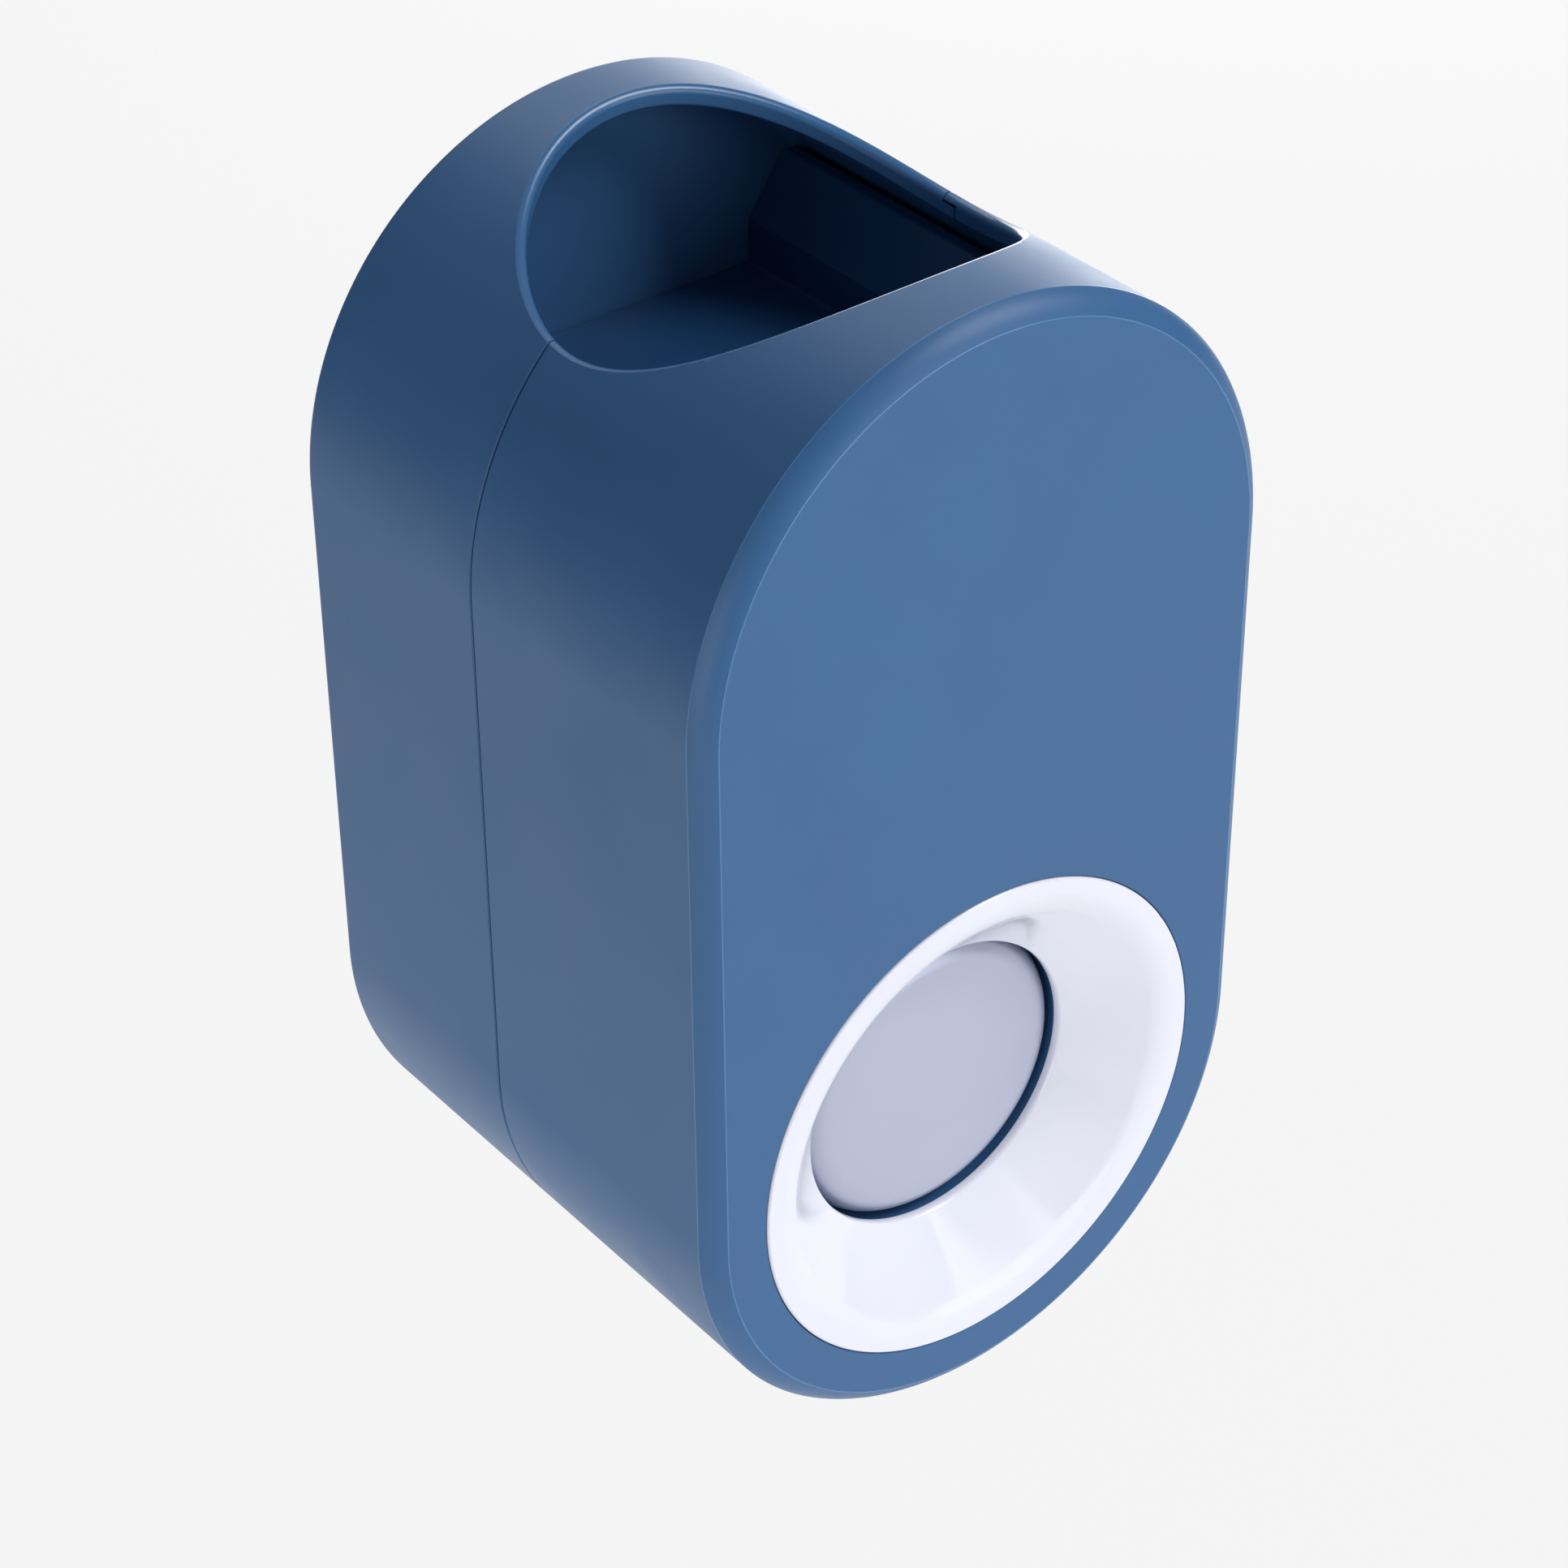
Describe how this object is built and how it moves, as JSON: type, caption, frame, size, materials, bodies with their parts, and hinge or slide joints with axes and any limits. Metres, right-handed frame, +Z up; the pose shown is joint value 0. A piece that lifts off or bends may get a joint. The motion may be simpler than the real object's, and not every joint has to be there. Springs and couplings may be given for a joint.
{
  "type": "toothpaste dispenser",
  "caption": "Wall-hung toothpaste dispenser: the tube stands in a round opening on top, and a brush head pushed into the funnel ring works a pump that lays paste on its bristles.",
  "frame": {"origin": "centre of the adhesive pad's back face, on the wall", "axes": "+Y into the wall, so the front faces -Y; +Z up; +X to the right of someone who faces the front"},
  "size_m": [0.079, 0.0742, 0.145],
  "materials": {
    "blue_abs": "satin",
    "navy_abs": "satin",
    "white_abs": "gloss",
    "silver_abs": "satin",
    "white_pom": "satin",
    "clear_pp": "satin",
    "steel": "satin",
    "silicone": "matte",
    "foam": "matte"
  },
  "bodies": {
    "wall_mount": {"wall_plate": "clear_pp", "adhesive_pad": "foam"},
    "casing": {"front_shell": "blue_abs", "rear_shell": "blue_abs", "funnel_ring": "white_abs", "guide_stem": "steel", "return_spring": "steel", "chassis": "white_pom", "rocker_axle": "steel", "axle_clips": "steel", "pump_body": "clear_pp", "pump_end_cap": "white_pom", "inlet_valve": "silicone", "feed_duct": "clear_pp", "outlet_valve": "silicone", "outlet_pipe": "clear_pp", "outlet_nozzle": "silicone", "tube_tray": "navy_abs", "tube_socket": "silicone", "chassis_screws": "steel", "case_screws": "steel"},
    "pusher": {"push_cap": "silver_abs", "pusher_carriage": "white_pom"},
    "rocker": {"rocker_lever": "white_pom"},
    "piston": {"pump_piston": "white_pom", "piston_seals": "silicone", "piston_rod": "white_pom", "crosshead_pin": "steel"}
  },
  "joints": [
    {"name": "casing_lift", "type": "slide", "parent": "wall_mount", "child": "casing", "axis": [0, 0, 1], "range_m": [0, 0.015]},
    {"name": "pusher_slide", "type": "slide", "parent": "casing", "child": "pusher", "axis": [0, 1, 0], "range_m": [0, 0.012], "stiffness_N_per_m": 150, "springref_m": -0.02, "deforming": ["return_spring"]},
    {"name": "rocker_pivot", "type": "hinge", "parent": "casing", "child": "rocker", "pos_m": [0, -0.0275, -0.0155], "axis": [1, 0, 0], "range_deg": [0, 33.4]},
    {"name": "piston_slide", "type": "slide", "parent": "casing", "child": "piston", "axis": [0, -1, 0], "range_m": [0, 0.012]}
  ],
  "couplings": [
    {"joint": "rocker_pivot", "follows": "pusher_slide", "rad_per_m": 48.575},
    {"joint": "piston_slide", "follows": "pusher_slide", "ratio": 1}
  ]
}
